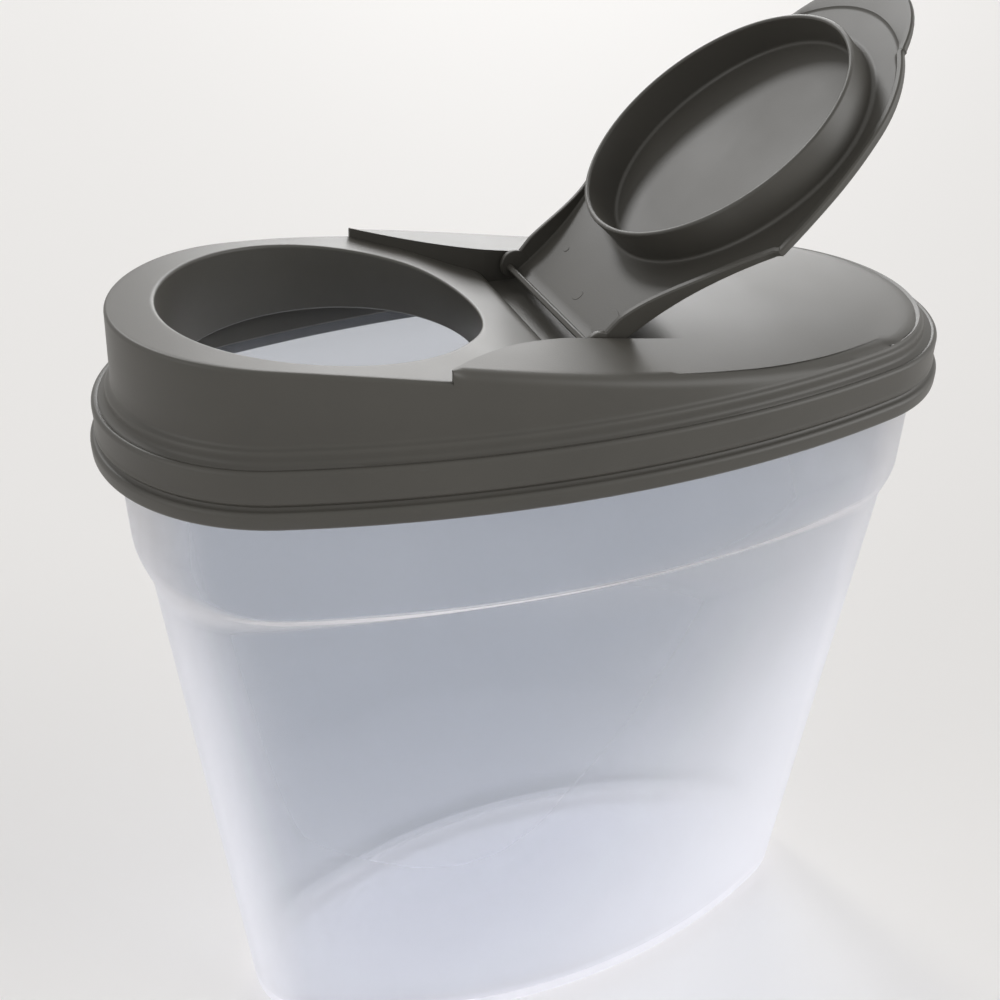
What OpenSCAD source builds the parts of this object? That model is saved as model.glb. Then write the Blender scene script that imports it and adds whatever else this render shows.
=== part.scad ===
// Cereal container: a see-through tub, a press-on lid and a flip-up pouring flap.
// Millimetres, +Z up. X runs along the container, the pouring end is at -X,
// Y runs across it and the origin is the centre of the base.

/* [Tub] */
// Half length of the tub at its rim
rim_half_length = 124; // [110:1:150]
// Half width of the tub at its rim
rim_half_width = 59.6; // [54:0.2:75]
// Radius of the rounded ends at the rim
rim_end_radius = 49.6; // [44:0.2:53]
// Height of the rim over the table
rim_height = 245.2; // [225:0.2:300]
// Half length of the base
base_half_length = 108; // [95:1:115]
// Half width of the base
base_half_width = 44; // [36:1:52]
// Radius of the rounded ends of the base
base_end_radius = 26; // [18:1:34]
// Height of the step line under the upper band
step_height = 198.6; // [150:0.2:212]
// Overhang of the upper band at the rounded ends
band_end_overhang = 3; // [1:0.1:4]
// Overhang of the upper band at the long sides
band_side_overhang = 1.2; // [0.4:0.1:2]
// How far the rounding under the band reaches down at the ends
band_round = 11; // [4:0.5:16]
// Wall thickness of the tub
tub_wall = 1.8; // [1.2:0.1:2.6]
// Height of the inside floor
floor_height = 5; // [3.5:0.1:8]
// Radius between the floor and the wall inside
floor_fillet = 9; // [4:0.5:12]
// Depth of the hollow under the base
foot_recess = 2; // [0.5:0.1:2.5]
// Width of the foot ring, measured from the outside of the base
foot_width = 8; // [5:0.5:12]
// How far the rim flange stands out
flange_overhang = 1.9; // [1:0.1:2]
// Height of the rim flange
flange_height = 5; // [3:0.2:8]

/* [Lid] */
// Wall thickness of the lid
lid_wall = 1.8; // [1.4:0.1:2.4]
// Gap between the tub rim and the lid
rim_gap = 0.5; // [0.3:0.1:1]
// Gap between the top of the rim and the lid over it
seat_gap = 0.3; // [0.2:0.05:0.6]
// How far the bottom bead stands out from the skirt
bead_proud = 1.8; // [0.8:0.1:2.4]
// Height of the bottom bead
bead_height = 5.2; // [3.5:0.1:6]
// Depth of the skirt below the rim top
skirt_depth = 13.2; // [11:0.2:18]
// Width of the ledge at the rounded ends
ledge_end_width = 5.7; // [4:0.1:9]
// Width of the ledge at the long sides
ledge_side_width = 4.5; // [2.5:0.1:5.5]
// Rise of the ledge from its outer edge to the collar
ledge_rise = 3.2; // [1.5:0.1:5]
// Shift of the collar towards the pouring end
collar_shift = 0.5; // [0:0.1:3]
// How far the collar leans in from foot to top
collar_lean = 2; // [0.5:0.1:3]
// Rounding of the top edge
edge_round = 1; // [0.5:0.1:1.4]
// Height of the pouring end over the ledge
front_rise = 24.3; // [20:0.2:34]
// Height of the rear end over the ledge
rear_rise = 1.6; // [1.2:0.1:4]
// Crown of the dome across its width
dome_crown = 2.6; // [0.5:0.1:4]
// Radius of the pouring opening
opening_radius = 43; // [34:0.5:44]
// Distance from the middle of the lid to the middle of the opening
opening_back = 65.6; // [60:0.2:70]
// Height of the opening tube above the rim
tube_bottom_rise = 2; // [1:0.2:4]
// Depth of the lip that goes down inside the tub
lip_depth = 7; // [4:0.5:9]
// Gap between that lip and the tub wall
lip_gap = 0.6; // [0.3:0.1:1.2]

/* [Flap and hinge] */
// Thickness of the flap edge that lies on the deck
flap_edge = 2.5; // [2:0.1:4]
// Thickness of the flap skin
flap_skin = 1.8; // [1.4:0.1:2.4]
// Gap between the closed flap and the lid
flap_gap = 0.4; // [0.25:0.05:0.8]
// Distance from the middle of the lid to the tips of the wings
wing_back = 46; // [42:0.5:50]
// Width of the blunt tip of each wing
wing_tip = 1.2; // [0.8:0.1:3]
// Half width of the flap at its hinge
neck_half_width = 33.6; // [28:0.2:38]
// How far the deck drops towards the hinge
deck_drop = 3.2; // [1:0.1:4]
// Depth of the hinge slot below the dome edge
recess_depth = 9.2; // [8.6:0.1:10.5]
// Distance of the hinge axis behind the middle of the lid
hinge_x = 2.2; // [0:0.2:5]
// Height of the hinge axis over the recess floor
hinge_rise = 5.8; // [5.6:0.1:6.6]
// Radius of the hinge pins
pin_radius = 2.3; // [1.6:0.1:2.6]
// Length of each hinge pin
pin_length = 4; // [2.5:0.1:6]
// Height of the flap edge over the slot floor at the hinge
pin_drop = 0.8; // [0.5:0.1:1.2]
// Radial gap around each hinge pin
pin_gap = 0.1; // [0.05:0.05:0.2]
// Gap between the end of each hinge pin and its bore
pin_end_gap = 0.5; // [0.3:0.1:1]
// Depth of the plug ring below the flap edge
plug_depth = 8; // [5:0.5:9]
// Wall thickness of the plug ring
plug_wall = 1.6; // [1.2:0.1:2.2]
// Gap between the plug ring and the opening
plug_gap = 0.5; // [0.3:0.1:1.2]
// How far the thumb tab stands out past the lid
tab_reach = 8; // [5:0.5:12]
// Half width of the thumb tab
tab_half_width = 20; // [14:0.5:22]
// Angle that the flap has been swung open
open_angle = 133; // [100:1:134]

/* [Hidden] */
$fn = 96;
quarter = 16; // steps in a quarter of an outline

// rim outline and what grows from it, each as half length, half width, end radius
rim = [rim_half_length, rim_half_width, rim_end_radius];
skirt_in = rim + (flange_overhang + rim_gap) * [1, 1, 1];
skirt_out = skirt_in + lid_wall * [1, 1, 1];
bead = skirt_out + bead_proud * [1, 1, 1];
foot = [skirt_out[0] - ledge_end_width, skirt_out[1] - ledge_side_width,
  skirt_out[2] - ledge_side_width];
crest = foot - collar_lean * [1, 1, 1];
step = [rim[0] - band_end_overhang, rim[1] - band_side_overhang, rim[2] - band_side_overhang];
base = [base_half_length, base_half_width, base_end_radius];

// heights
lid_bottom = rim_height - skirt_depth;
seat_z = rim_height + seat_gap;
ledge_z = seat_z + lid_wall;
foot_z = ledge_z + ledge_rise;
front_z = foot_z + front_rise;
rear_z = foot_z + rear_rise;
front_x = -collar_shift - crest[0];
rear_x = -collar_shift + crest[0];
deck_end = hinge_x - 9.2;
deck_fall = deck_end - 27;
recess_z = dome_line(deck_end) - recess_depth;
hinge_z = recess_z + hinge_rise;
scoop_x = hinge_x + 6.2;
scoop_slope = 0.62;
scoop_end = hinge_x + 26;
neck_reach = wing_back + hinge_x + 2;
opening_x = -opening_back;
plug_radius = opening_radius - plug_gap;
side_gap = flap_gap + 0.25; // the flap swings up between the walls of its room

function smooth(u) = let (v = max(0, min(1, u))) v * v * (3 - 2 * v);

// an outline of four arcs: list of points, counter-clockwise from +X
function side_k(o) = (pow(o[0] - o[2], 2) - pow(o[1] - o[2], 2)) / (2 * (o[1] - o[2]));
function quad_pt(o, u) =
  let (k = side_k(o), big = o[1] + k, turn = atan2(k, o[0] - o[2]))
  u < 0.5
    ? [o[0] - o[2] + o[2] * cos(turn * u * 2), o[2] * sin(turn * u * 2)]
    : let (t = turn + (90 - turn) * (u * 2 - 1)) [big * cos(t), big * sin(t) - k];
function outline(o, shift = 0) = [
  for (q = [0:3]) for (i = [0:quarter - 1])
    let (u = i / quarter, p = quad_pt(o, q % 2 == 0 ? u : 1 - u))
    [(q == 0 || q == 3 ? p[0] : -p[0]) - shift, q < 2 ? p[1] : -p[1]]
];
// half width of an outline at x
function half_width(o, x) =
  let (k = side_k(o), big = o[1] + k, turn = atan2(k, o[0] - o[2]), c = o[0] - o[2])
  abs(x) > c + o[2] * cos(turn)
    ? sqrt(max(0, o[2] * o[2] - pow(abs(x) - c, 2)))
    : sqrt(big * big - x * x) - k;

// heights of the lid: edge line from front to rear, dome over it, deck and recess floor
function dome_line(x) =
  let (t = max(0, min(1, (x - front_x) / (rear_x - front_x))))
  rear_z + (front_z - rear_z) * pow(cos(90 * t), 2.7);
function crown_share(x) =
  min(smooth((x - front_x + 2) / 60), 1 - 0.8 * smooth((x - 60) / (rear_x - 60)));
function dome_z(p) =
  dome_line(p[0]) + dome_crown * crown_share(p[0]) * (1 - pow(p[1] / crest[1], 2));
function deck_z(x) =
  dome_line(x) - flap_edge - deck_drop * smooth((x - deck_fall) / (deck_end - deck_fall));
function recess_floor(x) = recess_z + max(0, x - scoop_x) * scoop_slope;
function under_z(p) = min(dome_z(p), p[0] < deck_end - 26 ? deck_z(p[0])
  : p[0] < deck_end - 3 ? mix(deck_z(deck_end - 26), recess_z, (p[0] - deck_end + 26) / 23)
  : recess_floor(p[0] - 3));

// rings of points joined into one solid
function lift(pts, z) = [for (p = pts) [p[0], p[1], z]];
module loft(rings, closed = false, cap_first = [], cap_last = []) {
  m = len(rings[0]);
  n = len(rings);
  caps = closed ? [] : concat([cap_first], [cap_last]);
  pts = concat([for (r = rings) each r], caps);
  sides = [
    for (j = [0:closed ? n - 1 : n - 2]) for (i = [0:m - 1])
      let (a = j * m + i, b = j * m + (i + 1) % m, k = (j + 1) % n,
        c = k * m + (i + 1) % m, d = k * m + i)
      each [[a, c, b], [a, d, c]]
  ];
  ends = closed ? [] : [
    for (i = [0:m - 1]) each [
      [i, (i + 1) % m, n * m],
      [(n - 1) * m + (i + 1) % m, (n - 1) * m + i, n * m + 1]
    ]
  ];
  polyhedron(points = pts, faces = concat(sides, ends), convexity = 10);
}

// how much a point of the outline belongs to the rounded ends
function endness(i) = pow(abs(cos(360 * i / (4 * quarter))), 3);
function mix(a, b, t) = a + (b - a) * t;
function wall_o(z) = mix(base, step, z / step_height);
function shrink(o, d) = [o[0] - d, o[1] - d, max(1, o[2] - d)];

module tub() color("lightsteelblue") {
  m = 4 * quarter;
  low = [for (i = [0:m - 1]) step_height - 0.6 - band_round * endness(i)];
  high = [for (i = [0:m - 1]) step_height + 0.6 + 6 * endness(i)];
  wall_at = function(d, zs, part) [
    for (i = [0:m - 1])
      let (o = part == 0 ? wall_o(zs[i]) : rim, p = outline(shrink(o, d))[i])
      [p[0], p[1], zs[i]]
  ];
  inner_base = shrink(wall_o(floor_height), tub_wall);
  fillet = [for (t = [0:22.5:90])
    lift(outline(shrink(inner_base, floor_fillet * (1 - cos(t)))),
      floor_height + floor_fillet * (1 - sin(t)))];
  flange_z = rim_height - flange_height;
  rings = concat(
    [
      lift(outline(shrink(base, foot_width + foot_recess)), foot_recess),
      lift(outline(shrink(base, foot_width)), 0),
      lift(outline(shrink(base, 3)), 0),
      lift(outline(shrink(base, 0.9)), 0.9),
      lift(outline(wall_o(3)), 3),
      lift(outline(wall_o(step_height / 2)), step_height / 2),
      wall_at(0, low, 0),
      wall_at(0, high, 1),
      lift(outline(rim), flange_z - flange_overhang),
      lift(outline(shrink(rim, -flange_overhang)), flange_z),
      lift(outline(shrink(rim, -flange_overhang)), rim_height - 0.8),
      lift(outline(shrink(rim, 0.8 - flange_overhang)), rim_height),
      lift(outline(shrink(rim, tub_wall - 0.4)), rim_height),
      lift(outline(shrink(rim, tub_wall)), rim_height - 0.6),
      wall_at(tub_wall, [for (z = high) z + 1], 1),
      wall_at(tub_wall, [for (z = low) z - 1], 0),
      lift(outline(shrink(wall_o(step_height / 2), tub_wall)), step_height / 2)
    ],
    fillet
  );
  loft(rings, cap_first = [0, 0, foot_recess], cap_last = [0, 0, floor_height]);
}

// opening circle, its points in line with those of the outer outline
function hole_ring(pts, r) = [
  for (p = pts) let (d = [p[0] - opening_x, p[1]]) [opening_x, 0] + r * d / norm(d)
];
function mix_ring(a, b, t) = [for (i = [0:len(a) - 1]) mix(a[i], b[i], t)];
function drape(pts, drop) = [for (p = pts) [p[0], p[1], dome_z(p) - drop]];
function drape_under(pts) = [for (p = pts) [p[0], p[1], under_z(p) - lid_wall]];

module lid_shell() {
  s = collar_shift;
  top = outline(crest, s);
  top_in = outline(shrink(crest, edge_round), s);
  hole = hole_ring(top_in, opening_radius);
  under = outline(shrink(crest, lid_wall), s);
  tube_out = hole_ring(under, opening_radius + lid_wall);
  tube_z = rim_height + tube_bottom_rise;
  lip = shrink(rim, tub_wall + lip_gap);
  rings = concat(
    [
      lift(outline(skirt_in), lid_bottom + 0.5),
      lift(outline(shrink(skirt_in, -0.5)), lid_bottom),
      lift(outline(shrink(bead, 1)), lid_bottom),
      lift(outline(bead), lid_bottom + 1.2),
      lift(outline(bead), lid_bottom + bead_height - 1),
      lift(outline(shrink(bead, 0.8)), lid_bottom + bead_height),
      lift(outline(shrink(skirt_out, 0.5)), lid_bottom + bead_height + 0.2),
      lift(outline(shrink(skirt_out, 0.5)), lid_bottom + bead_height + 0.8),
      lift(outline(skirt_out), lid_bottom + bead_height + 1.2),
      lift(outline(skirt_out), ledge_z - 0.8),
      lift(outline(shrink(skirt_out, 0.3)), ledge_z),
      lift(outline(shrink(skirt_out, 1.1)), ledge_z + 0.6),
      lift(outline(shrink(foot, -0.6), s), foot_z - 0.2),
      lift(outline(foot, s), foot_z + 0.6),
      drape(top, edge_round),
      drape(outline(shrink(crest, 0.3 * edge_round), s), 0.3 * edge_round),
      drape(top_in, 0)
    ],
    [for (t = [0.08, 0.2, 0.34, 0.48, 0.62, 0.76, 0.9]) drape(mix_ring(top_in, hole, t), 0)],
    [
      drape(hole, 0),
      lift(hole, tube_z),
      lift(tube_out, tube_z),
      drape_under(tube_out)
    ],
    [for (t = [0.94, 0.87, 0.8, 0.74, 0.67, 0.6, 0.5, 0.36, 0.2, 0.08])
      drape_under(mix_ring(under, tube_out, t))],
    [
      drape_under(under),
      lift(outline(shrink(foot, lid_wall), s), foot_z - 1.4),
      lift(outline(shrink(lip, lid_wall)), seat_z - 0.8),
      lift(outline(shrink(lip, lid_wall)), rim_height - lip_depth + 0.6),
      lift(outline(shrink(lip, 1.2)), rim_height - lip_depth),
      lift(outline(shrink(lip, 0.6)), rim_height - lip_depth),
      lift(outline(lip), rim_height - lip_depth + 0.8),
      lift(outline(lip), seat_z),
      lift(outline(skirt_in), seat_z)
    ]
  );
  loft(rings, closed = true);
}

// half width of the flap between its hinge and its shoulders, and where it is measured
neck_xs = [for (i = [0:8]) mix(hinge_x - neck_reach, deck_end + 0.5, i / 8)];
function neck_width(x) =
  let (reach = neck_reach,
    wide = half_width(crest, -reach + hinge_x + collar_shift) - wing_tip - side_gap)
  mix(neck_half_width, wide, pow(max(0, hinge_x - x) / reach, 2.2));

// room over the deck and in the hinge recess, where the closed flap lies
module flap_room() {
  far = bead[0] + 10;
  top = front_z + dome_crown + 10;
  side = [for (x = concat(neck_xs, [deck_end + 1.7, hinge_x])) [x, neck_width(x) + side_gap]];
  wide = bead[1] + 5;
  end = [scoop_end, neck_half_width + side_gap];
  half = concat([[-far, wide], [side[0][0], wide]], side, [end]);
  floor_pts = concat([for (i = [0:32]) let (x = mix(-far, deck_end, i / 32)) [x, deck_z(x)]],
    [[deck_end, recess_z], [scoop_x, recess_z], [scoop_end + 5, recess_floor(scoop_end + 5)]]);
  intersection() {
    translate([0, 0, recess_z - 5]) linear_extrude(top - recess_z + 5)
      polygon(concat(half, [for (i = [len(half) - 1:-1:0]) [half[i][0], -half[i][1]]]));
    translate([0, wide + 1, 0]) rotate([90, 0, 0]) linear_extrude(2 * wide + 2)
      polygon(concat([[scoop_end + 5, top], [-far, top]], floor_pts));
  }
}

module lid() color("dimgray") difference() {
  lid_shell();
  flap_room();
  for (m = [-1, 1])
    translate([hinge_x, m * (neck_half_width + pin_length / 2), hinge_z])
      rotate([90, 0, 0])
        cylinder(r = pin_radius + pin_gap, h = pin_length + 2 * pin_end_gap, center = true);
}

// flap outline, one half from the tab to the hinge end
flap_rear = hinge_x + 2.6;
function flap_half() =
  let (
    t = front_x + tab_half_width * tab_half_width / (2 * crest[2]),
    shoulder = hinge_x - neck_reach,
    tip = front_x - tab_reach,
    c = min(7, tab_reach),
    side = [for (i = [0:12]) let (x = mix(t + 1.5, shoulder - 1.2, sin(90 * i / 12 - 90) + 1))
      [x, half_width(crest, x + collar_shift)]],
    neck = [for (x = concat(neck_xs, [deck_end + 1.7, hinge_x])) [x, neck_width(x)]]
  )
  concat(
    [[tip, 0], [tip + 0.1, tab_half_width * 0.3], [tip + 0.5, tab_half_width * 0.55],
      [tip + 0.3 * c, tab_half_width * 0.78], [tip + 0.7 * c, tab_half_width * 0.93],
      [tip + c, tab_half_width * 0.99]],
    side, neck,
    [[flap_rear - 0.8, neck_half_width], [flap_rear, neck_half_width - 0.8],
      [flap_rear, neck_half_width * 0.5], [flap_rear, 0]]
  );
function flap_outline() =
  let (h = flap_half(), n = len(h))
  concat([for (i = [0:n - 1]) [h[i][0], -h[i][1]]], [for (i = [n - 2:-1:1]) h[i]]);
function inset(pts, d) = [
  for (i = [0:len(pts) - 1])
    let (n = len(pts), t = pts[(i + 1) % n] - pts[(i + n - 1) % n])
    pts[i] + d * [-t[1], t[0]] / norm(t)
];
function toward(pts, t) = [for (p = pts) mix(p, [opening_x, 0], t)];
// lower edge of the flap: on the deck, and round the pins in the slot behind it
function rest_z(x) = x < deck_end + 1 ? deck_z(min(x, deck_end)) + flap_gap : recess_z + pin_drop;
function on_deck(pts) = [for (p = pts) [p[0], p[1], rest_z(p[0])]];

// the flap skin with its edge wall, and the ring that plugs the opening
module flap_shell() {
  o = flap_outline();
  in = inset(o, flap_skin);
  mid = [opening_x, 0];
  r_in = plug_radius - plug_wall;
  front = deck_z(opening_x - plug_radius);
  back = deck_z(opening_x + plug_radius);
  ring_at = function(r, up) [
    for (p = hole_ring(in, r))
      [p[0], p[1], up - plug_depth + mix(front, back, (p[0] - mid[0] + r) / (2 * r))]
  ];
  ring_out = hole_ring(in, plug_radius);
  rings = concat(
    [
      drape(hole_ring(in, r_in / 2), flap_skin),
      drape(hole_ring(in, r_in), flap_skin),
      ring_at(r_in, 0.4),
      ring_at(r_in + 0.4, 0),
      ring_at(plug_radius - 0.4, 0),
      ring_at(plug_radius, 0.4),
      drape(ring_out, flap_skin)
    ],
    [for (t = [0.75, 0.5, 0.25]) drape(mix_ring(in, ring_out, t), flap_skin)],
    [
      drape(in, flap_skin),
      on_deck(in),
      on_deck(o),
      drape(o, 0.7),
      drape(inset(o, 0.8), 0)
    ],
    [for (t = [0.2, 0.45, 0.7, 0.9]) drape(toward(inset(o, 0.8), t), 0)]
  );
  loft(rings, cap_first = [mid[0], mid[1], dome_z(mid) - flap_skin],
    cap_last = [mid[0], mid[1], dome_z(mid)]);
}

module flap() color("gray")
  translate([hinge_x, 0, hinge_z]) rotate([0, open_angle, 0]) translate([-hinge_x, 0, -hinge_z]) {
    flap_shell();
    for (m = [-1, 1])
      translate([hinge_x, m * (neck_half_width + pin_length / 2 - flap_skin / 4), hinge_z])
        rotate([90, 0, 0])
          cylinder(r = pin_radius, h = pin_length + flap_skin / 2, center = true);
  }

tub();
lid();
flap();
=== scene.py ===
import math
import bmesh
import bpy
from mathutils import Matrix, Vector


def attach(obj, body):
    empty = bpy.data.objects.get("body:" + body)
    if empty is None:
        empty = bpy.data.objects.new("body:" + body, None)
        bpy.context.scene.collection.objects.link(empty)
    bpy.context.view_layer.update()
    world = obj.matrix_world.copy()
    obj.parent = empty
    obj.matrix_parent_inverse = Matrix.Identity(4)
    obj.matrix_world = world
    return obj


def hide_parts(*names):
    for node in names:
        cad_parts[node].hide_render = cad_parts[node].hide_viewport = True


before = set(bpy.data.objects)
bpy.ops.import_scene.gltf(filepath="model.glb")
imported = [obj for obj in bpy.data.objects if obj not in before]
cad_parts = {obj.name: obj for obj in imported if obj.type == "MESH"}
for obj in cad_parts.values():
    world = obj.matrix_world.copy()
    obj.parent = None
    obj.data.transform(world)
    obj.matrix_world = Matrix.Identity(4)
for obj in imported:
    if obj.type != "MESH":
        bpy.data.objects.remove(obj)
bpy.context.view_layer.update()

print("frame loaded:", sorted(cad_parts))

# lengths are in millimetres; every mesh is scaled to metres once, when it is finished
toMetres = 0.001


# an oval is its half length, half width and the radius of its ends; its sides are flatter arcs
def shrink(oval, d):
    return (oval[0] - d, oval[1] - d, max(1.0, oval[2] - d))


def mix(a, b, t):
    return a + (b - a) * t


def mixOval(a, b, t):
    return tuple(mix(p, q, t) for p, q in zip(a, b))


def smooth(u):
    v = max(0.0, min(1.0, u))
    return v * v * (3 - 2 * v)


def ovalArcs(oval):
    length, width, radius = oval
    k = ((length - radius) ** 2 - (width - radius) ** 2) / (2 * (width - radius))
    return k, width + k, math.atan2(k, length - radius)


def ovalPoint(oval, u, shift=0.0):
    # u runs from 0 at the pouring end through 1 mid side to 2 at the rear end
    length, width, radius = oval
    k, big, turn = ovalArcs(oval)
    q = u if u <= 1 else 2 - u
    if q < 0.5:
        a = turn * q * 2
        x, y = length - radius + radius * math.cos(a), radius * math.sin(a)
    else:
        a = turn + (math.pi / 2 - turn) * (q * 2 - 1)
        x, y = big * math.cos(a), big * math.sin(a) - k
    return (-x if u <= 1 else x) - shift, y


def ovalU(oval, x, shift=0.0):
    # the u of the point at x, on the long side
    k, big, turn = ovalArcs(oval)
    a = math.acos(min(1.0, abs(x + shift) / big))
    q = 0.5 + 0.5 * (a - turn) / (math.pi / 2 - turn)
    return q if x + shift <= 0 else 2 - q


def halfWidth(oval, x):
    length, width, radius = oval
    k, big, turn = ovalArcs(oval)
    if abs(x) > length - radius + radius * math.cos(turn):
        return math.sqrt(max(0.0, radius**2 - (abs(x) - length + radius) ** 2))
    return math.sqrt(big * big - x * x) - k


def ringOf(half):
    # a closed ring from its near half, counter-clockwise seen from above
    near = [Vector((x, -y, z)) for x, y, z in half]
    return near + [Vector((x, y, z)) for x, y, z in half[-2:0:-1]]


def quarter(steps, first=0):
    # angles from the first step to a right angle
    return [math.pi / 2 * i / steps for i in range(first, steps + 1)]


class Loft:
    # rings of points joined by extruding the last ring's edges
    def __init__(self, half):
        points = ringOf(half)
        self.bm = bmesh.new()
        made = bmesh.ops.create_circle(self.bm, cap_ends=False, segments=len(points), radius=1)
        self.ring = made["verts"]
        self.first = self.ring
        self.place(points)

    def place(self, points):
        for vert, point in zip(self.ring, points):
            vert.co = point

    def grow(self, half):
        n = len(self.ring)
        edges = [self.bm.edges.get((self.ring[i], self.ring[(i + 1) % n])) for i in range(n)]
        made = bmesh.ops.extrude_edge_only(self.bm, edges=edges)
        fresh = {v for v in made["geom"] if isinstance(v, bmesh.types.BMVert)}
        self.ring = [
            next(e.other_vert(v) for e in v.link_edges if e.other_vert(v) in fresh)
            for v in self.ring
        ]
        self.place(ringOf(half))

    def growAll(self, halves):
        for half in halves:
            self.grow(half)

    def cap(self, ring, centre):
        made = bmesh.ops.contextual_create(self.bm, geom=list(ring))
        poked = bmesh.ops.poke(self.bm, faces=made["faces"])
        poked["verts"][0].co = Vector(centre)


def finishMesh(bm, name, sharpAngle=38.0, merge=0.004):
    # cleans a mesh in millimetres, marks its sharp edges, scales it to metres and makes its object
    bmesh.ops.remove_doubles(bm, verts=bm.verts, dist=merge)
    bmesh.ops.dissolve_degenerate(bm, edges=bm.edges, dist=merge)
    bmesh.ops.recalc_face_normals(bm, faces=bm.faces)
    for face in bm.faces:
        face.smooth = True
    for edge in bm.edges:
        edge.smooth = edge.calc_face_angle(0.0) < math.radians(sharpAngle)
    bmesh.ops.scale(bm, vec=(toMetres,) * 3, verts=bm.verts)
    mesh = bpy.data.meshes.new(name)
    bm.to_mesh(mesh)
    bm.free()
    piece = bpy.data.objects.new(name, mesh)
    bpy.context.scene.collection.objects.link(piece)
    print("made", name, "with", len(mesh.polygons), "faces")
    return piece


tubValues = {
    "rim": (124.0, 59.6, 49.6),  # half length, half width, end radius
    "base": (108.0, 44.0, 26.0),
    "rimHeight": 245.2,
    "stepHeight": 198.6,
    "bandEnd": 3.0,  # overhang of the band at the rounded ends
    "bandSide": 1.2,  # and at the long sides
    "bandStep": 0.6,  # half the height of the step at the long sides
    "bandRound": 11.0,  # how much further down it reaches at the ends
    "bandRoll": 6.0,  # and up
    "wall": 1.8,
    "floorHeight": 5.0,
    "floorFillet": 9.0,
    "footRecess": 2.0,
    "footWidth": 8.0,
    "corner": 3.0,
    "flange": 1.9,
    "flangeHeight": 5.0,
    "rimRound": (0.8, 0.6),  # outside and inside
    "wallHeights": (30, 60, 90, 120, 150, 172, 182),  # of the wall's rings
    "bandHeight": 212,
    "stepsPerQuarter": 56,
}


def buildTub():
    v = tubValues
    steps = 2 * v["stepsPerQuarter"]
    us = [2 * i / steps for i in range(steps + 1)]
    rim = v["rim"]
    stepOval = (rim[0] - v["bandEnd"], rim[1] - v["bandSide"], rim[2] - v["bandSide"])

    def wallOval(z):
        return mixOval(v["base"], stepOval, z / v["stepHeight"])

    def level(oval, z):
        return [(*ovalPoint(oval, u), z) for u in us]

    def endShare(u):
        return abs(math.cos(math.pi / 2 * u)) ** 3

    def stepRing(t, wall):
        # the roll from the wall, t 0, to the band over it, t 1
        half = []
        for u in us:
            e = endShare(u)
            low = v["stepHeight"] - v["bandStep"] - v["bandRound"] * e
            high = v["stepHeight"] + v["bandStep"] + v["bandRoll"] * e
            z = mix(low, high, t)
            oval = mixOval(shrink(wallOval(low), wall), shrink(rim, wall), smooth(t))
            half.append((*ovalPoint(oval, u), z))
        return half

    rolls = [i / 8 for i in range(9)]
    loft = Loft(level(shrink(v["base"], v["footWidth"] + v["footRecess"]), v["footRecess"]))
    loft.grow(level(shrink(v["base"], v["footWidth"] + 0.4), 0.3))
    loft.grow(level(shrink(v["base"], v["footWidth"] - 0.3), 0.0))
    corner = v["corner"]
    for a in quarter(6):
        z = corner * (1 - math.cos(a))
        loft.grow(level(shrink(wallOval(z), corner * (1 - math.sin(a))), z))
    for z in (12, *v["wallHeights"]):
        loft.grow(level(wallOval(z), z))
    for t in rolls:
        loft.grow(stepRing(t, 0))
    flangeZ = v["rimHeight"] - v["flangeHeight"]
    loft.grow(level(rim, v["bandHeight"]))
    loft.grow(level(rim, flangeZ - v["flange"]))
    for a in quarter(4, 1):
        z = flangeZ - v["flange"] * (1 - math.sin(a))
        loft.grow(level(shrink(rim, -v["flange"] * (1 - math.cos(a))), z))
    outRound, inRound = v["rimRound"]
    for a in quarter(4):
        z = v["rimHeight"] - outRound + outRound * math.sin(a)
        loft.grow(level(shrink(rim, outRound * (1 - math.cos(a)) - v["flange"]), z))
    for a in quarter(3):
        z = v["rimHeight"] - inRound + inRound * math.cos(a)
        loft.grow(level(shrink(rim, v["wall"] - inRound + inRound * math.sin(a)), z))
    loft.grow(level(shrink(rim, v["wall"]), v["bandHeight"]))
    for t in reversed(rolls):
        loft.grow(stepRing(t, v["wall"]))
    for z in reversed(v["wallHeights"]):
        loft.grow(level(shrink(wallOval(z), v["wall"]), z))
    inner = shrink(wallOval(v["floorHeight"]), v["wall"])
    for a in quarter(8):
        oval = shrink(inner, v["floorFillet"] * (1 - math.cos(a)))
        loft.grow(level(oval, v["floorHeight"] + v["floorFillet"] * (1 - math.sin(a))))
    last = shrink(inner, v["floorFillet"])
    for t in (0.75, 0.45, 0.2):
        loft.grow([(x * t, y * t, z) for x, y, z in level(last, v["floorHeight"])])
    loft.cap(loft.ring, (0, 0, v["floorHeight"]))
    loft.cap(loft.first, (0, 0, v["footRecess"]))
    return finishMesh(loft.bm, "tubShell")


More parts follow.
